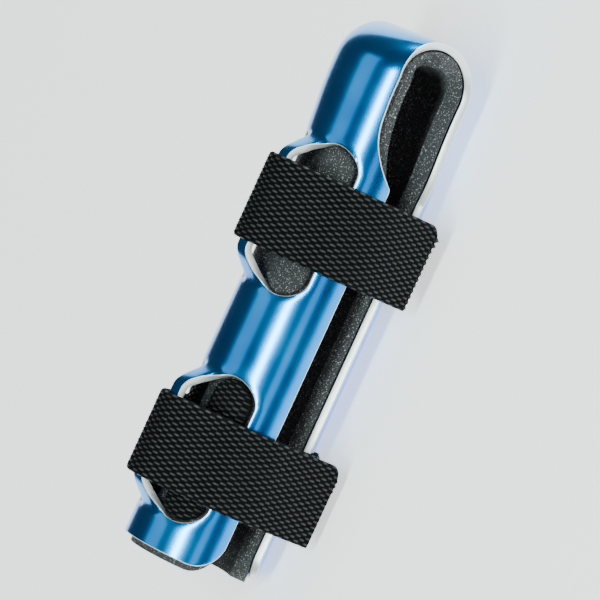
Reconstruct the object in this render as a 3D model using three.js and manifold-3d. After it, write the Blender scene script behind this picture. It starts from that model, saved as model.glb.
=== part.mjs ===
// Fold-over finger splint: one strip of anodised aluminium, channelled to the finger and folded
// over its tip, lined with foam and held by two webbing straps that pass under and over a raised
// bridge in each slot of the front arm. It lies on the back of its straps, tip towards +X.

import * as THREE from "three";
import { mergeVertices } from "three/addons/utils/BufferGeometryUtils.js";
import Module from "manifold-3d";

// Driving dimensions, in millimetres and degrees.
const channelRadius = 12.55;
const metalThickness = 1.4;
const foamThickness = 2.8;
const webbingThickness = 1.2;
const clearance = 0.3;

const frontLength = 102.3;
const backLength = 101.0;
const foldReach = 8.8;
const frontCornerRadius = 5.8;
const backCornerRadius = 3.0;
const foamOverhang = 1.2;

const neckEnd = 17.0;
const shoulderAt = 27.6;
const flarePower = 2.2;
const tipRiseStart = 30.0;
const tipRiseEnd = 11.0;
const frontRise = 1.1;
const backRise = 1.5;
const tipFlattening = 0.15;

const frontAngle = 79.2;
const backAngle = 54.1;
const frontNeckAngle = 54.5;
const backNeckAngle = 44.5;
const foamFrontNeckAngle = 68.0;
const foamBackNeckAngle = 52.0;

const bridgeWidth = 3.0;
const bridgeThickness = 1.1;
const bridgeRise = 5.5;
const bridgeRamp = 4.4;
const bridgeBendRadius = 1.2;
const lobeClearance = 0.5;
const lobeDrop = 0.6;

const restFlatWidth = 7.0;
const restEdgeAngle = 158.0;
const valleyAngle = 36.0;
const spanSag = 0.945;

// Each slot with its strap: slot start and length from the tip, slot width with both its windows,
// strap start and width, and where the strap's free end comes to, out from the middle and down.
const stations = [
  { name: "upper", slotStart: 24.1, slotLength: 28.4, slotWidth: 19.0,
    strapStart: 29.9, strapWidth: 16.2, endOut: 14.6, endDown: 9.3 },
  { name: "lower", slotStart: 68.8, slotLength: 27.5, slotWidth: 19.8,
    strapStart: 75.9, strapWidth: 15.6, endOut: 15.5, endDown: 11.0 },
];

const degrees = Math.PI / 180;
const foldLength = Math.PI * foldReach;

const anodisedBlue = new THREE.MeshStandardMaterial({ color: 0x2478c8, metalness: 0.95, roughness: 0.25 });
const blackFoam = new THREE.MeshStandardMaterial({ color: 0x1c1c1d, metalness: 0.0, roughness: 0.9 });
const blackWebbing = new THREE.MeshStandardMaterial({ color: 0x18181a, metalness: 0.0, roughness: 0.65 });

// The part is drawn with the middle of its channel on the X axis and the fold's crown at X 0.
// Along a line of the strip, `along` is negative on the front arm, 0 to foldLength round the fold,
// and more on the back arm. `angle` is turned from the strip's middle towards the photo's right.
function belowCrown(along) {
  if (along < 0) return foldReach - along;
  if (along <= foldLength) return foldReach * (1 - Math.sin((along / foldLength) * Math.PI));
  return foldReach + along - foldLength;
}

function tipShare(distance) {
  return THREE.MathUtils.smoothstep(tipRiseStart - distance, 0, tipRiseStart - tipRiseEnd);
}

function surfacePoint(along, angle) {
  const distance = belowCrown(along);
  const turn = Math.PI * THREE.MathUtils.clamp(along / foldLength, 0, 1);
  const near = along >= 0 && along <= foldLength ? 1 : tipShare(distance);
  const level = channelRadius * Math.cos(angle * degrees);
  const depth = level + tipFlattening * near * (channelRadius - level);
  const rise = near * THREE.MathUtils.lerp(frontRise, backRise, (1 - Math.cos(turn)) / 2);
  return new THREE.Vector3(
    -distance, -channelRadius * Math.sin(angle * degrees), depth * Math.cos(turn) + rise);
}

// A point of the strip, the given depth below its outer face.
function stripPoint(along, angle, depth) {
  const step = 0.05;
  const lengthwise = surfacePoint(along + step, angle).sub(surfacePoint(along - step, angle));
  const crosswise = surfacePoint(along, angle + step).sub(surfacePoint(along, angle - step));
  const outward = crosswise.cross(lengthwise).normalize();
  return surfacePoint(along, angle).addScaledVector(outward, -depth);
}

// The strip's half angle: narrow at the neck, flaring to a sharp shoulder.
function halfAngle(along, neck) {
  const front = along < foldLength / 2;
  const full = front ? frontAngle : backAngle;
  const toCrown = THREE.MathUtils.clamp(along / (foldLength / 2), 0, 1);
  const narrow = THREE.MathUtils.lerp(neck.front, neck.back, toCrown);
  const share = THREE.MathUtils.clamp((belowCrown(along) - neckEnd) / (shoulderAt - neckEnd), 0, 1);
  return narrow + (full - narrow) * Math.pow(share, flarePower);
}

// An arm's length at one line of the strip, with its end rounded at the corners.
function armLength(length, cornerRadius, edgeAngle, across) {
  const halfWidth = channelRadius * edgeAngle * degrees;
  const into = Math.max(0, Math.abs(across) * halfWidth - (halfWidth - cornerRadius));
  return length - cornerRadius + Math.sqrt(Math.max(0, cornerRadius ** 2 - into ** 2));
}

// Distances below the crown of one arm's rows: neck, shoulder, straight stretch, rounded end.
function armRows(cornerStart, end) {
  const stretches = [
    { from: foldReach, to: neckEnd, steps: 3 },
    { from: neckEnd, to: shoulderAt, steps: 6 },
    { from: shoulderAt, to: cornerStart, steps: 10 },
    { from: cornerStart, to: end, steps: 4 },
  ];
  const rows = [foldReach];
  for (const { from, to, steps } of stretches) {
    for (let step = 1; step <= steps; step += 1) rows.push(from + ((to - from) * step) / steps);
  }
  return rows;
}

// Rows of one line of the strip, from the front arm's end round the fold to the back arm's end.
function stripRows(across, extra) {
  const frontEnd = armLength(frontLength + extra, frontCornerRadius, frontAngle, across);
  const backEnd = armLength(backLength + extra, backCornerRadius, backAngle, across);
  const frontArm = armRows(frontLength - 2 * frontCornerRadius, frontEnd);
  const backArm = armRows(backLength - 2 * frontCornerRadius, backEnd);
  const foldSteps = 12;
  const fold = Array.from({ length: foldSteps - 1 }, (_, step) => ((step + 1) / foldSteps) * foldLength);
  return [
    ...frontArm.map((distance) => foldReach - distance).reverse(),
    ...fold,
    ...backArm.map((distance) => foldLength + distance - foldReach),
  ];
}

// A closed layer of the strip between two depths below its outer face.
function stripLayer({ outer, inner, neck, columns, extra }) {
  const acrossSteps = Array.from({ length: columns + 1 }, (_, column) =>
    Math.sin((Math.PI / 2) * (-1 + (2 * column) / columns) * 0.8) / Math.sin((Math.PI / 2) * 0.8));
  const lines = acrossSteps.map((across) => stripRows(across, extra));
  const rowCount = lines[0].length;
  const ring = 2 * (columns + 1);
  const positions = [];
  for (let row = 0; row < rowCount; row += 1) {
    const face = (column, depth) => {
      const along = lines[column][row];
      const point = stripPoint(along, acrossSteps[column] * halfAngle(along, neck), depth);
      positions.push(point.x, point.y, point.z);
    };
    for (let column = 0; column <= columns; column += 1) face(column, outer);
    for (let column = columns; column >= 0; column -= 1) face(column, inner);
  }
  const indices = [];
  const quad = (a, b, c, d) => indices.push(a, b, c, a, c, d);
  for (let row = 0; row < rowCount - 1; row += 1) {
    for (let side = 0; side < ring; side += 1) {
      const next = (side + 1) % ring;
      quad(row * ring + side, row * ring + next, (row + 1) * ring + next, (row + 1) * ring + side);
    }
  }
  const last = (rowCount - 1) * ring;
  for (let column = 0; column < columns; column += 1) {
    const under = ring - 1 - column;
    quad(column + 1, column, under, under - 1);
    quad(last + column, last + column + 1, last + under - 1, last + under);
  }
  const geometry = new THREE.BufferGeometry();
  geometry.setAttribute("position", new THREE.Float32BufferAttribute(positions, 3));
  geometry.setIndex(indices);
  return geometry;
}

// A round-ended prism for the window on one side of a slot's bridge, down through the front arm only.
function windowPrism(station, side, inset) {
  const reach = (station.slotWidth - bridgeWidth) / 4;
  const radius = reach - inset;
  const straight = station.slotLength / 2 - reach;
  const shape = new THREE.Shape();
  shape.absarc(straight, 0, radius, -Math.PI / 2, Math.PI / 2, false);
  shape.absarc(-straight, 0, radius, Math.PI / 2, (3 * Math.PI) / 2, false);
  const prism = new THREE.ExtrudeGeometry(
    shape, { depth: 2 * channelRadius, bevelEnabled: false, curveSegments: 10 });
  const middle = -station.slotStart - station.slotLength / 2;
  return prism.translate(middle, side * (bridgeWidth / 2 + reach), 0);
}

// The flat web between two windows, which is taken out where the bridge stands up from it.
function webBox(station) {
  const length = station.slotLength - 2 * bridgeBendRadius;
  const web = new THREE.BoxGeometry(length, bridgeWidth + clearance, 2 * channelRadius);
  return web.translate(-station.slotStart - station.slotLength / 2, 0, channelRadius);
}

// The bridge left standing between a slot's windows and pressed up.
function bridgeSolid(station) {
  const start = -station.slotStart;
  const end = start - station.slotLength;
  const root = bridgeBendRadius + 0.5;
  const top = channelRadius + bridgeRise;
  const profile = new THREE.Path();
  const rounded = (points) => {
    points.forEach((point, index) => {
      if (index === 0) return profile.moveTo(point.x, point.y);
      const next = points[index + 1];
      if (!next) return profile.lineTo(point.x, point.y);
      const before = points[index - 1].clone().sub(point).setLength(bridgeBendRadius).add(point);
      const after = next.clone().sub(point).setLength(bridgeBendRadius).add(point);
      profile.lineTo(before.x, before.y);
      return profile.quadraticCurveTo(point.x, point.y, after.x, after.y);
    });
    return profile.getPoints(5);
  };
  const middleLevel = channelRadius - metalThickness / 2;
  const line = rounded([
    new THREE.Vector2(start + root, middleLevel),
    new THREE.Vector2(start, middleLevel),
    new THREE.Vector2(start - bridgeRamp, top - bridgeThickness / 2),
    new THREE.Vector2(end + bridgeRamp, top - bridgeThickness / 2),
    new THREE.Vector2(end, middleLevel),
    new THREE.Vector2(end - root, middleLevel),
  ]);
  const outline = new THREE.Shape(thickLine(line, bridgeThickness));
  const bar = new THREE.ExtrudeGeometry(outline, { depth: bridgeWidth, bevelEnabled: false });
  return bar.translate(0, 0, -bridgeWidth / 2).rotateX(Math.PI / 2);
}

// The outline of a line with a thickness, as points for a Shape.
function thickLine(line, thickness) {
  const left = [];
  const right = [];
  line.forEach((point, index) => {
    const from = line[Math.max(index - 1, 0)];
    const to = line[Math.min(index + 1, line.length - 1)];
    const normal = new THREE.Vector2(from.y - to.y, to.x - from.x).setLength(thickness / 2);
    left.push(point.clone().add(normal));
    right.push(point.clone().sub(normal));
  });
  return [...left, ...right.reverse()];
}

// The strap's middle line across the splint: (out to the photo's left, up). It starts as a tab under
// the bridge, goes right round, over the bridge and over its own start, and ends free at the right.
// Its angles are turned from the top towards the photo's right.
function strapLine(station) {
  const half = bridgeWidth / 2;
  const under = channelRadius + bridgeRise - bridgeThickness - clearance - webbingThickness / 2;
  const over = channelRadius + bridgeRise + clearance + webbingThickness / 2;
  const firstTurn = channelRadius + clearance + webbingThickness / 2;
  const secondTurn = firstTurn + webbingThickness + clearance;
  const at = (angle, radius) =>
    new THREE.Vector2(-radius * Math.sin(angle * degrees), radius * Math.cos(angle * degrees));
  const gapMiddle = (frontAngle + 180 - backAngle) / 2;
  const backEdge = 180 - backAngle;
  const points = [
    new THREE.Vector2(half + 2.0, under),
    new THREE.Vector2(0, under),
    new THREE.Vector2(-half - 0.6, under - 0.5),
    at(valleyAngle - 2, firstTurn - 0.05),
    at(50, firstTurn),
    at(65, firstTurn),
    at(frontAngle, firstTurn),
    at(gapMiddle, firstTurn * spanSag),
    at(backEdge, firstTurn),
    at((backEdge + restEdgeAngle) / 2, firstTurn),
    at(restEdgeAngle, firstTurn),
    new THREE.Vector2(-restFlatWidth / 2, -firstTurn),
    new THREE.Vector2(0, -firstTurn),
    new THREE.Vector2(restFlatWidth / 2, -firstTurn),
    at(-restEdgeAngle, firstTurn),
    at(-(backEdge + restEdgeAngle) / 2, firstTurn),
    at(-backEdge, firstTurn),
    at(-gapMiddle, firstTurn * spanSag),
    at(-frontAngle, firstTurn),
    at(-65, firstTurn),
    at(-52, firstTurn),
    new THREE.Vector2(half + 3.6, over - 3.4),
    new THREE.Vector2(half + 0.9, over - 0.5),
    new THREE.Vector2(half - 0.6, over),
    new THREE.Vector2(-half + 0.4, over),
    new THREE.Vector2(-half - 0.9, over - 0.5),
    at(valleyAngle, secondTurn + 0.1),
    at(50, secondTurn),
    at(65, secondTurn),
    at(frontAngle, secondTurn),
    at(frontAngle + 12, secondTurn),
    new THREE.Vector2(-station.endOut, -station.endDown),
  ];
  const curve = new THREE.CatmullRomCurve3(
    points.map((point) => new THREE.Vector3(point.x, point.y, 0)), false, "centripetal");
  const rests = (point) => point.y < 0 && Math.abs(point.x) <= restFlatWidth / 2 + clearance;
  return curve.getPoints(points.length * 4)
    .map((point) => new THREE.Vector2(point.x, rests(point) ? -firstTurn : point.y));
}

function strapSolid(station) {
  const outline = new THREE.Shape(thickLine(strapLine(station), webbingThickness));
  const band = new THREE.ExtrudeGeometry(outline, { depth: station.strapWidth, bevelEnabled: false });
  band.rotateX(Math.PI / 2).rotateZ(Math.PI / 2);
  return band.translate(-station.strapStart - station.strapWidth, 0, 0);
}

const library = await Module();
library.setup();

function toSolid(geometry) {
  const bare = geometry.clone();
  bare.deleteAttribute("normal");
  bare.deleteAttribute("uv");
  const merged = mergeVertices(bare, 1e-4);
  return new library.Manifold(new library.Mesh({
    numProp: 3,
    vertProperties: new Float32Array(merged.attributes.position.array),
    triVerts: new Uint32Array(merged.index.array),
  }));
}

function toGeometry(solid) {
  const mesh = solid.getMesh();
  const geometry = new THREE.BufferGeometry();
  geometry.setAttribute("position", new THREE.Float32BufferAttribute(mesh.vertProperties, 3));
  geometry.setIndex(Array.from(mesh.triVerts));
  geometry.computeVertexNormals();
  return geometry;
}

function buildShell() {
  const neck = { front: frontNeckAngle, back: backNeckAngle };
  let shell = toSolid(stripLayer({ outer: 0, inner: metalThickness, neck, columns: 18, extra: 0 }));
  for (const station of stations) {
    for (const side of [-1, 1]) shell = shell.subtract(toSolid(windowPrism(station, side, 0)));
    shell = shell.subtract(toSolid(webBox(station)));
    shell = shell.add(toSolid(bridgeSolid(station)));
  }
  return toGeometry(shell);
}

function buildLining() {
  const neck = { front: foamFrontNeckAngle, back: foamBackNeckAngle };
  const faceDepth = metalThickness + clearance;
  const sheet = { neck, columns: 12, extra: foamOverhang };
  let lining = toSolid(stripLayer({ outer: faceDepth, inner: faceDepth + foamThickness, ...sheet }));
  const raised = toSolid(stripLayer({ outer: lobeDrop, inner: faceDepth + foamThickness / 2, ...sheet }));
  for (const station of stations) {
    for (const side of [-1, 1]) {
      const prism = toSolid(windowPrism(station, side, lobeClearance));
      lining = lining.add(raised.intersect(prism));
    }
  }
  return toGeometry(lining);
}

function namedMesh(name, geometry, material) {
  const mesh = new THREE.Mesh(geometry, material);
  mesh.name = name;
  return mesh;
}

const splint = new THREE.Group();
splint.name = "finger_splint";
splint.add(namedMesh("metal_shell", buildShell(), anodisedBlue));
splint.add(namedMesh("foam_lining", buildLining(), blackFoam));
for (const station of stations) {
  splint.add(namedMesh(`${station.name}_strap`, strapSolid(station), blackWebbing));
}

// The origin goes to the middle of the part's underside.
const box = new THREE.Box3().setFromObject(splint, true);
const middle = box.getCenter(new THREE.Vector3());
splint.position.set(-middle.x, -middle.y, -box.min.z);
splint.updateMatrixWorld(true);

export default splint;
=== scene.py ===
import math

import bmesh
import bpy
from mathutils import Matrix, Vector


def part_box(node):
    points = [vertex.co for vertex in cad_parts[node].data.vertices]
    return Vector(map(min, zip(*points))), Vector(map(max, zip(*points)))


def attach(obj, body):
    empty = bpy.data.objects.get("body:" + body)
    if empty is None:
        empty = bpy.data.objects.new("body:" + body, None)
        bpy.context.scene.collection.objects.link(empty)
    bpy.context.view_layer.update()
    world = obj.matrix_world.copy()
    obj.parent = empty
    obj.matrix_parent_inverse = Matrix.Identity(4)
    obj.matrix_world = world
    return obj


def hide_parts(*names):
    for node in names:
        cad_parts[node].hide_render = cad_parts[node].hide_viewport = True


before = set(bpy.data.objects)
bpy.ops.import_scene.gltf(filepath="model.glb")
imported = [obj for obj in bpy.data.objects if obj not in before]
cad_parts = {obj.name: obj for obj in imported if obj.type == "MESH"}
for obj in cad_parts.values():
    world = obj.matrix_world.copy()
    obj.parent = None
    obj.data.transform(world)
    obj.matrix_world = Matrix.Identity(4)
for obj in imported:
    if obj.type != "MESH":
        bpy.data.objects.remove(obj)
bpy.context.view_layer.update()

bpy.ops.object.select_all(action="DESELECT")

# The metal shell: one strip of aluminium sheet, anodised blue and then sheared, so its cut edges are
# bare. It is channelled to the finger and folded over its tip. In each slot of the front arm a bridge
# is left standing along the middle and pressed up.
mm = 0.001
sheet_thickness = 1.4 * mm
channel_radius = 12.55 * mm
front_length, back_length = 102.3 * mm, 101.0 * mm
front_corner, back_corner = 5.8 * mm, 5.0 * mm
fold_reach = 8.8 * mm
fold_length = math.pi * fold_reach
neck_end, shoulder_at, flare_power = 17.0 * mm, 27.6 * mm, 2.2
rise_start, rise_end = 30.0 * mm, 11.0 * mm
front_rise, back_rise, tip_flattening = 1.1 * mm, 1.5 * mm, 0.15
front_angle, back_angle = math.radians(79.2), math.radians(54.1)
bridge_half_width = 1.5 * mm
bridge_rise, bridge_ramp, bridge_bend = 5.5 * mm, 4.4 * mm, 1.3 * mm
crest_share, root_share, spread_share = 1.2, 1.2, 2.6
edge_drop, edge_reach = 0.2 * mm, 0.5 * mm
edge_start, edge_full = 3.5 * mm, 6.0 * mm
# A slot's start is its distance below the crown of the fold.
slots = {
    "upper": {"start": 24.1 * mm, "length": 28.4 * mm, "width": 19.0 * mm},
    "lower": {"start": 68.8 * mm, "length": 27.5 * mm, "width": 19.8 * mm},
}

shell_low, shell_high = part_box("metal_shell")
crown = shell_high[0]
middle_y = (shell_low[1] + shell_high[1]) / 2
middle_z = shell_low[2] + channel_radius


def smooth_step(low, high, value):
    """From 0 at low to 1 at high, level at both ends."""
    share = min(max((value - low) / (high - low), 0.0), 1.0)
    return share * share * (3 - 2 * share)


def below_crown(along):
    """Distance below the fold's crown. along is negative on the front arm, then round the fold."""
    if along < 0:
        return fold_reach - along
    if along <= fold_length:
        return fold_reach * (1 - math.sin(along / fold_length * math.pi))
    return fold_reach + along - fold_length


def outer_face(along, angle):
    """A point of the outer face, at an angle round the channel from its middle line."""
    distance = below_crown(along)
    turn = math.pi * min(max(along / fold_length, 0.0), 1.0)
    near = 1.0
    if not 0 <= along <= fold_length:
        near = smooth_step(0, rise_start - rise_end, rise_start - distance)
    level = channel_radius * math.cos(angle)
    depth = level + tip_flattening * near * (channel_radius - level)
    rise = near * (front_rise + (back_rise - front_rise) * (1 - math.cos(turn)) / 2)
    return Vector((
        crown - distance,
        middle_y - channel_radius * math.sin(angle),
        middle_z + depth * math.cos(turn) + rise))


def strip_point(along, angle, depth):
    """A point of the folded strip, depth below its outer face."""
    step_along, step_angle = 0.05 * mm, 0.001
    lengthwise = outer_face(along + step_along, angle) - outer_face(along - step_along, angle)
    crosswise = outer_face(along, angle + step_angle) - outer_face(along, angle - step_angle)
    return outer_face(along, angle) - crosswise.cross(lengthwise).normalized() * depth


def half_angle(along, front_neck, back_neck):
    """How far round the channel the strip reaches to each side. It narrows to a neck at the fold."""
    full = front_angle if along < fold_length / 2 else back_angle
    to_crown = min(max(along / (fold_length / 2), 0.0), 1.0)
    narrow = front_neck + (back_neck - front_neck) * to_crown
    share = min(max((below_crown(along) - neck_end) / (shoulder_at - neck_end), 0.0), 1.0)
    return narrow + (full - narrow) * share ** flare_power


def corner_margin(along, angle, extra):
    """How far inside the rounded end of its arm a point is."""
    front = along < fold_length / 2
    length = (front_length if front else back_length) + extra
    corner = front_corner if front else back_corner
    width = channel_radius * (front_angle if front else back_angle)
    aside = abs(channel_radius * angle) - (width - corner)
    beyond = below_crown(along) - (length - corner)
    if aside <= 0 or beyond <= 0:
        return min(corner, corner - max(aside, beyond))
    return corner - math.hypot(aside, beyond)


def slot_margin(along, angle, slot):
    """How far outside a slot a point is. The bridge parts it into two round-ended windows."""
    radius = (slot["width"] / 2 - bridge_half_width) / 2
    away = abs(below_crown(along) - slot["start"] - slot["length"] / 2) - slot["length"] / 2 + radius
    aside = abs(channel_radius * math.sin(angle)) - bridge_half_width - radius
    return math.hypot(max(away, 0.0), aside) - radius


def soft_max(first, second, blend):
    """The larger of two values, with a rounded change from one to the other."""
    gap = max(blend - abs(first - second), 0.0) / blend
    return max(first, second) + gap * gap * blend / 4


def shell_margin(along, angle):
    """How far inside the metal a point is, from its ends and its windows."""
    margin = corner_margin(along, angle, 0.0)
    if along < 0:
        margin = min([margin] + [slot_margin(along, angle, slot) for slot in slots.values()])
    return margin


def bridge_lift(along, angle):
    """How far the bridges stand up, and how far the slots' edges are drawn in."""
    if along >= 0:
        return 0.0
    distance = below_crown(along)
    across = abs(channel_radius * math.sin(angle))
    lift = 0.0
    for slot in slots.values():
        inside = min(distance - slot["start"], slot["start"] + slot["length"] - distance)
        ramp = bridge_rise / bridge_ramp
        raised = -soft_max(-inside * ramp, -bridge_rise, bridge_bend * crest_share)
        raised = soft_max(raised, 0.0, bridge_bend)
        beside = smooth_step(bridge_half_width * root_share, bridge_half_width * spread_share, across)
        lift += max(raised, 0.0) * (1 - beside)
        margin = slot_margin(along, angle, slot)
        drawn = math.exp(-(max(margin, 0.0) / edge_reach) ** 2) * smooth_step(edge_start, edge_full, across)
        lift -= edge_drop * drawn
    return lift


def folded_sheet(name, cell, neck, margin_of, place, extra):
    """A grid laid along the folded strip, trimmed where margin_of is negative.

    The vertices next to an edge are moved onto it first, so that the trimmed edge is smooth. That
    takes a few rounds of steps down the slope of the margin, and none goes further than most of a cell.
    """
    longest = front_length + back_length + 2 * extra - 2 * fold_reach + fold_length
    rows = round(longest / cell)
    columns = 2 * round(channel_radius * front_angle / cell)
    bpy.ops.mesh.primitive_grid_add(x_subdivisions=rows, y_subdivisions=columns, size=1)
    sheet = bpy.context.object
    sheet.name = name
    start = fold_reach - front_length - extra

    def spot(along, across):
        return along, across * half_angle(along, *neck)

    lattice = {}
    mesh = bmesh.new()
    mesh.from_mesh(sheet.data)
    mesh.verts.ensure_lookup_table()
    for vertex in mesh.verts:
        lattice[vertex.index] = [start + (vertex.co.x + 0.5) * longest, 2 * vertex.co.y]

    def margin_at(index):
        return margin_of(*spot(*lattice[index]))

    margins = {index: margin_at(index) for index in lattice}
    crossing = set()
    for edge in mesh.edges:
        first, second = (vertex.index for vertex in edge.verts)
        if margins[first] * margins[second] < 0:
            crossing.add(first if abs(margins[first]) < abs(margins[second]) else second)
    step, rounds = 0.02 * mm, 4
    furthest = 0.8 * cell
    for index in crossing:
        home = list(lattice[index])
        for _ in range(rounds):
            along, across = lattice[index]
            value = margin_at(index)
            across_size = channel_radius * half_angle(along, *neck)
            lattice[index][0] = along + step
            slope_along = (margin_at(index) - value) / step
            lattice[index] = [along, across + step / across_size]
            slope_across = (margin_at(index) - value) / step
            steepness = slope_along ** 2 + slope_across ** 2 or 1.0
            move = -value / steepness
            along += move * slope_along
            across += move * slope_across / across_size
            reach_across = furthest / across_size
            lattice[index] = [
                min(max(along, home[0] - furthest), home[0] + furthest),
                min(max(across, home[1] - reach_across), home[1] + reach_across)]
        margins[index] = 0.0

    for face in list(mesh.faces):
        signs = [margins[vertex.index] for vertex in face.verts]
        if min(signs) < 0 < max(signs):
            on_line = [vertex for vertex in face.verts if margins[vertex.index] == 0.0]
            if len(on_line) == 2:
                bmesh.utils.face_split(face, on_line[0], on_line[1])
    outside = []
    for face in mesh.faces:
        corners = [lattice[vertex.index] for vertex in face.verts]
        centre = [sum(places) / len(corners) for places in zip(*corners)]
        lowest = min(margins[vertex.index] for vertex in face.verts)
        if lowest < 0 or margin_of(*spot(*centre)) < 0:
            outside.append(face)
    for vertex in mesh.verts:
        vertex.co = place(*spot(*lattice[vertex.index]))
    bmesh.ops.delete(mesh, geom=outside, context="FACES")
    bmesh.ops.reverse_faces(mesh, faces=mesh.faces)
    mesh.to_mesh(sheet.data)
    mesh.free()
    return sheet


def apply_modifiers(piece):
    bpy.ops.object.select_all(action="DESELECT")
    piece.select_set(True)
    bpy.context.view_layer.objects.active = piece
    for modifier in list(piece.modifiers):
        bpy.ops.object.modifier_apply(modifier=modifier.name)


def shell_place(along, angle):
    return strip_point(along, angle, 0.0) + Vector((0, 0, bridge_lift(along, angle)))


shell_neck = (math.radians(54.5), math.radians(44.5))
shell_cell = 0.55 * mm
shell = folded_sheet("blue_metal_shell", shell_cell, shell_neck, shell_margin, shell_place, 0.0)


def linear_colour(code):
    """sRGB hex to linear RGBA."""
    parts = [int(code[start:start + 2], 16) / 255 for start in (0, 2, 4)]
    return [part / 12.92 if part <= 0.04045 else ((part + 0.055) / 1.055) ** 2.4 for part in parts] + [1.0]


def add_node(material, kind, inputs=None, **settings):
    """Adds a node with its settings. An input is a value, or the socket that it is linked from."""
    added = material.node_tree.nodes.new(kind)
    for name, value in settings.items():
        setattr(added, name, value)
    for socket, value in (inputs or {}).items():
        if isinstance(value, bpy.types.NodeSocket):
            material.node_tree.links.new(value, added.inputs[socket])
        else:
            added.inputs[socket].default_value = value
    return added


def new_material(name):
    material = bpy.data.materials.new(name)
    material.use_nodes = True
    material.node_tree.nodes.clear()
    return material


# Anodised aluminium: clear dye over bright rolled metal, so it mirrors softly and in its own colour.
# Its rolling lines are about 1 mm apart and its clouds of tint about 11 mm across.
anodised = new_material("anodised_blue_aluminium")
place_node = add_node(anodised, "ShaderNodeTexCoord")
along_rolling = add_node(anodised, "ShaderNodeMapping", {
    "Vector": place_node.outputs["Object"], "Scale": (60, 900, 900)})
rolling = add_node(anodised, "ShaderNodeTexNoise", {
    "Vector": along_rolling.outputs[0], "Scale": 1.0, "Detail": 3.0})
clouds = add_node(anodised, "ShaderNodeTexNoise", {
    "Vector": place_node.outputs["Object"], "Scale": 90.0, "Detail": 2.0})
tint = add_node(anodised, "ShaderNodeValToRGB", {"Fac": clouds.outputs["Fac"]})
tint.color_ramp.elements[0].position = 0.35
tint.color_ramp.elements[0].color = linear_colour("008CEC")
tint.color_ramp.elements[1].position = 0.65
tint.color_ramp.elements[1].color = linear_colour("00A2FC")
gloss = add_node(anodised, "ShaderNodeMapRange", {
    "Value": clouds.outputs["Fac"], "To Min": 0.17, "To Max": 0.25})
rolled_bump = add_node(anodised, "ShaderNodeBump", {
    "Height": rolling.outputs["Fac"], "Strength": 0.08, "Distance": 0.05 * mm})
blue_surface = add_node(anodised, "ShaderNodeBsdfPrincipled", {
    "Base Color": tint.outputs["Color"], "Metallic": 1.0, "Roughness": gloss.outputs[0],
    "Coat Weight": 0.3, "Coat Roughness": 0.12, "Normal": rolled_bump.outputs["Normal"]})
add_node(anodised, "ShaderNodeOutputMaterial", {"Surface": blue_surface.outputs[0]})

# Sheared aluminium edge: bare, bright and torn in grains of about 0.4 mm across its thickness.
cut_edge = new_material("sheared_bare_aluminium")
place_node = add_node(cut_edge, "ShaderNodeTexCoord")
tear = add_node(cut_edge, "ShaderNodeTexNoise", {
    "Vector": place_node.outputs["Object"], "Scale": 2600.0, "Detail": 3.0})
tear_bump = add_node(cut_edge, "ShaderNodeBump", {
    "Height": tear.outputs["Fac"], "Strength": 0.5, "Distance": 0.08 * mm})
bare = add_node(cut_edge, "ShaderNodeBsdfPrincipled", {
    "Base Color": linear_colour("FAFBFC"), "Metallic": 0.6, "Roughness": 0.4,
    "Normal": tear_bump.outputs["Normal"]})
add_node(cut_edge, "ShaderNodeOutputMaterial", {"Surface": bare.outputs[0]})

shell.data.materials.append(anodised)
shell.data.materials.append(cut_edge)
wall = shell.modifiers.new("wall", "SOLIDIFY")
wall.thickness = sheet_thickness
wall.offset = -1
wall.material_offset_rim = 1
edges = shell.modifiers.new("edges", "BEVEL")
edges.width = 0.52 * mm
edges.segments = 3
edges.limit_method = "ANGLE"
edges.angle_limit = math.radians(50)
edges.material = 1
apply_modifiers(shell)
bpy.ops.object.shade_smooth_by_angle(angle=math.radians(40))
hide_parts("metal_shell")
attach(shell, "root")

# The foam lining: a strip of black rubber foam with a granular skin, bonded inside both arms and
# round the fold. It is wider than the metal at the neck, and a lobe of it fills each window beside a
# bridge. The lobes in the lower slot are faced with webbing.
glue_line = 0.3 * mm
foam_thickness = 2.8 * mm
foam_overhang = 1.2 * mm
foam_neck = (math.radians(67.0), math.radians(50.0))
foam_middle = sheet_thickness + glue_line + foam_thickness / 2


def foam_place(along, angle):
    return strip_point(along, angle, foam_middle)


def foam_margin(along, angle):
    return corner_margin(along, angle, foam_overhang)


foam_cell = 0.9 * mm
lining = folded_sheet(
    "granular_foam_lining", foam_cell, foam_neck, foam_margin, foam_place, foam_overhang)
body = lining.modifiers.new("body", "SOLIDIFY")
body.thickness = foam_thickness
body.offset = 0
body.use_even_offset = True
round_over = lining.modifiers.new("round_over", "BEVEL")
round_over.width = 0.4 * mm
round_over.segments = 2
round_over.angle_limit = math.radians(50)
apply_modifiers(lining)
bpy.ops.object.shade_smooth()

warp_pitch, float_length, yarn_fullness = 0.545 * mm, 1.1 * mm, 0.6


def weave_at(across_warp, along_warp):
    """Plain weave at a point: how near it is to the middle of its warp yarn, and how high on a float."""
    rib = abs(math.sin(math.pi * across_warp / warp_pitch))
    wave = math.cos(math.pi * along_warp / float_length + math.pi * int(across_warp / warp_pitch))
    return rib, math.copysign(abs(wave) ** yarn_fullness, wave)


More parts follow.
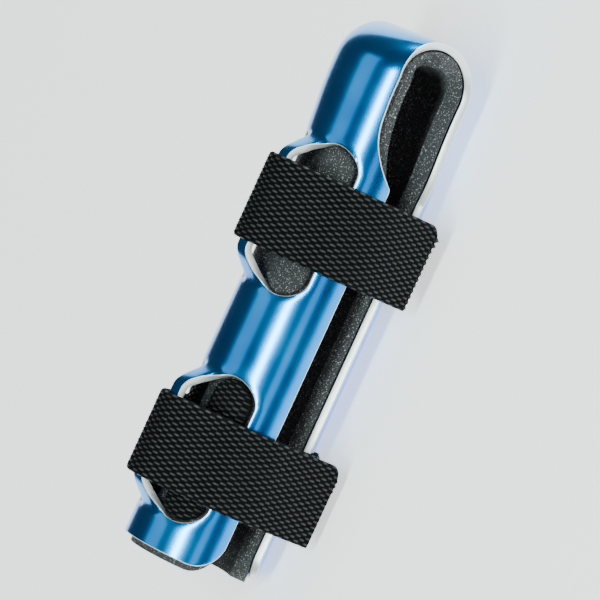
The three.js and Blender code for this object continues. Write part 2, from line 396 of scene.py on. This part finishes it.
foam = new_material("granular_black_foam")
webbing = new_material("black_nylon_webbing")
lining.data.materials.append(foam)
lobe_gap, lobe_drop, lobe_crown, lobe_foot = 0.35 * mm, 0.9 * mm, 0.7 * mm, 2.4 * mm
lobe_relief = 0.16 * mm
windows = [(slot, side) for slot in slots.values() for side in (-1, 1)]
for slot, side in windows:
    woven = slot is slots["lower"]
    lengths, widths = (120, 46) if woven else (60, 20)
    bpy.ops.mesh.primitive_grid_add(x_subdivisions=lengths, y_subdivisions=widths, size=2)
    lobe = bpy.context.object
    lobe.data.materials.append(webbing if woven else foam)
    heights = lobe.data.attributes.new("yarn_height", "FLOAT", "POINT")
    window = (slot["width"] / 2 - bridge_half_width) / 2
    radius = window - lobe_gap
    straight = slot["length"] / 2 - window
    # The outermost ring of the grid is the lobe's foot, straight below its rim.
    for vertex in lobe.data.vertices:
        lengthwise = max(-1.0, min(1.0, vertex.co.x * lengths / (lengths - 2)))
        crosswise = max(-1.0, min(1.0, vertex.co.y * widths / (widths - 2)))
        from_middle = (straight + radius) * math.sin(lengthwise * math.pi / 2)
        past = max(abs(from_middle) - straight, 0.0) / radius
        aside = crosswise * math.sqrt(max(0.0, 1 - past ** 2))
        share = min(math.hypot(past, aside), 1.0)
        distance = slot["start"] + slot["length"] / 2 + from_middle
        across = side * (bridge_half_width + window + radius * aside)
        depth = lobe_drop - lobe_crown * math.sqrt(max(0.0, 1 - share ** 3))
        if woven:
            rib, wave = weave_at(distance, across)
            wave *= 1 - share ** 6
            heights.data[vertex.index].value = rib * (0.5 + 0.5 * wave)
            depth -= lobe_relief * rib ** yarn_fullness * wave
        if max(abs(vertex.co.x), abs(vertex.co.y)) > 0.999:
            depth += lobe_foot
        vertex.co = strip_point(fold_reach - distance, math.asin(across / channel_radius), depth)
    bpy.ops.object.mode_set(mode="EDIT")
    bpy.ops.mesh.select_all(action="SELECT")
    bpy.ops.mesh.remove_doubles(threshold=0.02 * mm)
    bpy.ops.mesh.normals_make_consistent(inside=False)
    bpy.ops.object.mode_set(mode="OBJECT")
    bpy.ops.object.shade_smooth()
    bpy.ops.object.select_all(action="DESELECT")
    lobe.select_set(True)
    lining.select_set(True)
    bpy.context.view_layer.objects.active = lining
    bpy.ops.object.join()

# Rubber foam with a torn, granular skin: matt and black, with small grains painted light grey in its colour
# as glints.
# The grains are about 0.28 mm across, drawn a little coarser than real so that they show.
place_node = add_node(foam, "ShaderNodeTexCoord")
grains = add_node(foam, "ShaderNodeTexVoronoi", {
    "Vector": place_node.outputs["Object"], "Scale": 3600.0})
lumps = add_node(foam, "ShaderNodeTexNoise", {
    "Vector": place_node.outputs["Object"], "Scale": 4200.0, "Detail": 1.0})
# Painted glints: the tops of the noise's lumps are painted light grey in the foam's colour, standing in for
# light caught by the grains.
painted_grain_glints = add_node(foam, "ShaderNodeMapRange", {
    "Value": lumps.outputs["Fac"], "From Min": 0.61, "From Max": 0.7})
foam_colour = add_node(foam, "ShaderNodeValToRGB", {"Fac": painted_grain_glints.outputs[0]})
foam_colour.color_ramp.elements[0].color = linear_colour("343437")
foam_colour.color_ramp.elements[1].color = linear_colour("A4A6A9")
grain_bump = add_node(foam, "ShaderNodeBump", {
    "Height": grains.outputs["Distance"], "Strength": 0.9, "Distance": 0.12 * mm})
lump_bump = add_node(foam, "ShaderNodeBump", {
    "Height": lumps.outputs["Fac"], "Strength": 0.8, "Distance": 0.2 * mm,
    "Normal": grain_bump.outputs["Normal"]})
foam_surface = add_node(foam, "ShaderNodeBsdfPrincipled", {
    "Base Color": foam_colour.outputs["Color"], "Roughness": 0.6, "Specular IOR Level": 0.3,
    "Normal": lump_bump.outputs["Normal"]})
add_node(foam, "ShaderNodeOutputMaterial", {"Surface": foam_surface.outputs[0]})
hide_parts("foam_lining")
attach(lining, "root")

# The straps: two lengths of black nylon webbing, plain woven. Each starts under its bridge, goes
# right round the splint, over the bridge and over its own start, and its end is held there by hook
# and loop.
webbing_thickness, clearance = 1.2 * mm, 0.3 * mm
bridge_depth = 1.1 * mm
first_turn = channel_radius + clearance + webbing_thickness / 2
second_turn = first_turn + webbing_thickness + clearance
straps = {
    "upper": {"start": 29.9 * mm, "width": 16.2 * mm, "end_out": 14.6 * mm, "end_down": 9.3 * mm},
    "lower": {"start": 75.9 * mm, "width": 15.6 * mm, "end_out": 15.5 * mm, "end_down": 11.0 * mm},
}


def around(degrees, radius):
    """A point across the splint, turned from the top towards the camera's side."""
    angle = math.radians(degrees)
    return Vector((-radius * math.sin(angle), radius * math.cos(angle)))


def strap_stations(strap):
    """The points across the splint that the middle of the webbing goes through."""
    half = bridge_half_width
    under = channel_radius + bridge_rise - bridge_depth - clearance - webbing_thickness / 2
    over = channel_radius + bridge_rise + clearance + webbing_thickness / 2
    front_edge, back_edge = math.degrees(front_angle), 180 - math.degrees(back_angle)
    gap_middle = (front_edge + back_edge) / 2
    rest_edge, rest, sag = 158, 3.5 * mm, 0.945
    hollow_turn = first_turn * sag
    under_bridge = [
        Vector((half + 2.0 * mm, under)),
        Vector((0, under)),
        Vector((-half - 0.6 * mm, under - 0.5 * mm)),
    ]
    down_the_near_side = [
        around(34, first_turn - 0.05 * mm),
        around(50, first_turn),
        around(65, first_turn),
        around(front_edge, first_turn),
        around(gap_middle, hollow_turn),
        around(back_edge, first_turn),
        around((back_edge + rest_edge) / 2, first_turn),
        around(rest_edge, first_turn),
    ]
    under_the_back_arm = [
        Vector((-rest, -first_turn)),
        Vector((0, -first_turn)),
        Vector((rest, -first_turn)),
    ]
    up_the_far_side = [
        around(-rest_edge, first_turn),
        around(-(back_edge + rest_edge) / 2, first_turn),
        around(-back_edge, first_turn),
        around(-gap_middle, hollow_turn),
        around(-front_edge, first_turn),
        around(-65, first_turn),
        around(-52, first_turn),
    ]
    over_the_bridge = [
        Vector((half + 3.6 * mm, over - 3.4 * mm)),
        Vector((half + 0.9 * mm, over - 0.5 * mm)),
        Vector((half - 0.6 * mm, over)),
        Vector((-half + 0.4 * mm, over)),
        Vector((-half - 0.9 * mm, over - 0.4 * mm)),
        Vector((-4.6 * mm, over - 1.9 * mm)),
        Vector((-6.6 * mm, over - 3.8 * mm)),
        Vector((-8.0 * mm, over - 5.6 * mm)),
    ]
    over_its_own_start = [
        around(39, second_turn - 0.05 * mm),
        around(52, second_turn + 0.15 * mm),
        around(65, second_turn),
        around(front_edge, second_turn),
        around(front_edge + 12, second_turn),
        Vector((-strap["end_out"], -strap["end_down"])),
    ]
    return (
        under_bridge + down_the_near_side + under_the_back_arm + up_the_far_side
        + over_the_bridge + over_its_own_start)


def smooth_route(stations, spacing):
    """Even points on a centripetal spline through the stations, and the length that they follow."""
    points = [stations[0] * 2 - stations[1]] + stations + [stations[-1] * 2 - stations[-2]]
    dense = []
    steps_between = 24
    for first, second, third, fourth in zip(points, points[1:], points[2:], points[3:]):
        knots = [0.0]
        for before, after in ((first, second), (second, third), (third, fourth)):
            knots.append(knots[-1] + math.sqrt(max((after - before).length, 1e-9)))
        for step in range(steps_between):
            knot = knots[1] + (knots[2] - knots[1]) * step / steps_between
            level = [first, second, third, fourth]
            for low, high in ((0, 1), (0, 2), (1, 2)):
                blended = []
                for index, (left, right) in enumerate(zip(level, level[1:])):
                    start, end = knots[index + low], knots[index + high]
                    span = end - start
                    blended.append(left * ((end - knot) / span) + right * ((knot - start) / span))
                level = blended
            dense.append(level[0])
    dense.append(stations[-1])
    lengths = [0.0]
    for before, after in zip(dense, dense[1:]):
        lengths.append(lengths[-1] + (after - before).length)
    count = round(lengths[-1] / spacing)
    route, position = [], 0
    for step in range(count + 1):
        wanted = lengths[-1] * step / count
        while position < len(lengths) - 2 and lengths[position + 1] < wanted:
            position += 1
        share = (wanted - lengths[position]) / (lengths[position + 1] - lengths[position])
        route.append(dense[position].lerp(dense[position + 1], share))
    return route, lengths[-1]


# Woven nylon: black warp yarns 0.55 mm apart, matt in the gaps and slightly glossy on top. Its colour is
# painted darker in the gaps as shade and lighter on the float tops as glints.
place_node = add_node(webbing, "ShaderNodeTexCoord")
yarn_height = add_node(webbing, "ShaderNodeAttribute", attribute_name="yarn_height")
# Painted shade and glint: the colour runs from near black in the gaps to grey on the float tops, by yarn
# height.
yarn_painted_shade_and_glint = add_node(webbing, "ShaderNodeValToRGB", {"Fac": yarn_height.outputs["Fac"]})
yarn_painted_shade_and_glint.color_ramp.elements[0].position = 0.35
yarn_painted_shade_and_glint.color_ramp.elements[0].color = linear_colour("020202")
yarn_painted_shade_and_glint.color_ramp.elements[1].position = 0.85
yarn_painted_shade_and_glint.color_ramp.elements[1].color = linear_colour("3A3C40")
yarn_gloss = add_node(webbing, "ShaderNodeMapRange", {
    "Value": yarn_height.outputs["Fac"], "From Min": 0.2, "From Max": 0.7, "To Min": 0.9, "To Max": 0.3})
fibres = add_node(webbing, "ShaderNodeTexNoise", {
    "Vector": place_node.outputs["Object"], "Scale": 5000.0, "Detail": 3.0})
fibre_bump = add_node(webbing, "ShaderNodeBump", {
    "Height": fibres.outputs["Fac"], "Strength": 0.3, "Distance": 0.06 * mm})
nylon = add_node(webbing, "ShaderNodeBsdfPrincipled", {
    "Base Color": yarn_painted_shade_and_glint.outputs["Color"], "Roughness": yarn_gloss.outputs[0],
    "Specular IOR Level": 0.16, "Normal": fibre_bump.outputs["Normal"]})
add_node(webbing, "ShaderNodeOutputMaterial", {"Surface": nylon.outputs[0]})

row_spacing, column_spacing = 0.25 * mm, 0.19 * mm
relief, sunk_share, face_drop = 0.2 * mm, 0.7, 0.17 * mm
selvedge_width, selvedge_drop = 0.5 * mm, 0.3 * mm
end_corner = 2.0 * mm
for name, strap in straps.items():
    route, length = smooth_route(strap_stations(strap), row_spacing)
    last_row = len(route) - 1
    half_width = strap["width"] / 2
    columns = round(strap["width"] / column_spacing)
    bpy.ops.mesh.primitive_grid_add(x_subdivisions=last_row, y_subdivisions=columns, size=1)
    band = bpy.context.object
    band.name = name + "_webbing_strap"
    heights = band.data.attributes.new("yarn_height", "FLOAT", "POINT")
    for vertex in band.data.vertices:
        row = round((vertex.co.x + 0.5) * last_row)
        across = (vertex.co.y + 0.5) * strap["width"]
        edge = min(across, strap["width"] - across)
        from_end = min(length * (last_row - row) / last_row, end_corner)
        corner_rise = math.sqrt(max(0.0, end_corner ** 2 - (end_corner - from_end) ** 2))
        narrowed = half_width - end_corner + corner_rise
        if across < half_width:
            across = half_width + (across - half_width) * narrowed / half_width
        spot = route[row]
        heading = (route[min(row + 1, last_row)] - route[max(row - 1, 0)]).normalized()
        outward = Vector((heading.y, -heading.x))
        rib, wave = weave_at(across, length * row / last_row)
        heights.data[vertex.index].value = rib * (0.5 + 0.5 * wave)
        weave = relief * rib ** yarn_fullness * (wave if wave > 0 else wave * sunk_share)
        selvedge = max(0.0, 1 - edge / selvedge_width)
        lift = webbing_thickness / 2 - face_drop + weave * (1 - selvedge) - selvedge_drop * selvedge ** 2
        # Its face is flat under the back arm, where the splint rests on it.
        rests = outward.y < -0.9 and spot.y < 0
        if rests:
            lift = webbing_thickness / 2
        flat = spot + outward * lift
        vertex.co = Vector((crown - strap["start"] - across, middle_y + flat.x, middle_z + flat.y))
    band.data.materials.append(webbing)
    band.data.flip_normals()
    body = band.modifiers.new("body", "SOLIDIFY")
    body.thickness = webbing_thickness - relief
    body.offset = -1
    apply_modifiers(band)
    bpy.ops.object.shade_smooth()
    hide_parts(name + "_strap")
    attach(band, "root")

# The studio: a pale floor, a long strip softbox above the camera that draws the highlight down the
# tube, a small one past the tip for the crown, and three wide weak ones round the splint.
bpy.ops.mesh.primitive_plane_add(size=4.0, location=(0, 0, 0))
floor = bpy.context.object
floor.name = "pale_floor"
paper = new_material("pale_paper")
matt = add_node(paper, "ShaderNodeBsdfPrincipled", {
    "Base Color": linear_colour("FFFFFF"), "Roughness": 0.9,
    "Emission Color": linear_colour("FFFFFF"), "Emission Strength": 1.0})
add_node(paper, "ShaderNodeOutputMaterial", {"Surface": matt.outputs[0]})
floor.data.materials.append(paper)

world = bpy.data.worlds.new("studio")
bpy.context.scene.world = world
world.use_nodes = True
backdrop = world.node_tree.nodes["Background"]
backdrop.inputs["Color"].default_value = linear_colour("F2F6FA")
backdrop.inputs["Strength"].default_value = 0.1

axis_point = Vector((0, middle_y, middle_z))
elevation = math.radians(36.0)
towards = Vector((0, -math.cos(elevation), math.sin(elevation)))
sideways = Vector((0, -math.sin(elevation), -math.cos(elevation)))
tip = Vector((1, 0, 0))


def add_light(name, turn, reach, length, width, power, colour="FFFFFF", shift=0.0):
    """An area light aimed at the splint, turned from the camera's side round its axis.

    reach is its distance from the axis, and shift its distance along it towards the tip.
    """
    angle = math.radians(turn)
    direction = towards * math.cos(angle) + sideways * math.sin(angle)
    data = bpy.data.lights.new(name, "AREA")
    data.shape = "RECTANGLE"
    data.size, data.size_y = length, width
    data.energy = power
    data.color = linear_colour(colour)[:3]
    light = bpy.data.objects.new(name, data)
    bpy.context.collection.objects.link(light)
    away = direction * reach + tip * shift
    back = away.normalized()
    up = back.cross(tip).normalized()
    turned = Matrix((up.cross(back), up, back)).transposed()
    light.matrix_world = Matrix.Translation(axis_point + away) @ turned.to_4x4()


add_light("strip_softbox", -24, 0.9, 0.75, 0.12, 10.5, "EAFFF8", shift=-0.2)
add_light("tip_softbox", -20, 0.12, 0.3, 0.5, 14.0, "EAFFF8", shift=0.9)
add_light("camera_side_softbox", 10, 1.0, 0.9, 0.2, 0.7)
add_light("side_softbox", 42, 1.1, 1.0, 0.4, 0.9)
add_light("far_softbox", -70, 1.2, 1.1, 0.6, 1.8)

# The camera. The splint's axis runs up and to the right in the picture by axis_slope.
camera_distance, focal_pixels, picture_width = 0.745, 4172.0, 600
eye_below_crown, aim_below_crown, to_the_side = 32 * mm, 52 * mm, -1.14 * mm
axis_slope = (0.417, 0.909)
target = axis_point + tip * (crown - aim_below_crown) + sideways * to_the_side
eye = axis_point + tip * (crown - eye_below_crown) + towards * camera_distance + sideways * to_the_side
back = (eye - target).normalized()
lean = math.atan2(*axis_slope)
up = tip * math.cos(lean) - sideways * math.sin(lean)
right = up.cross(back).normalized()
up = back.cross(right).normalized()
camera_data = bpy.data.cameras.new("camera")
camera_data.sensor_width = 36.0
camera_data.lens = camera_data.sensor_width * focal_pixels / picture_width
camera_data.clip_start = 0.01
camera = bpy.data.objects.new("camera", camera_data)
bpy.context.collection.objects.link(camera)
camera.matrix_world = Matrix.Translation(eye) @ Matrix((right, up, back)).transposed().to_4x4()
bpy.context.scene.camera = camera
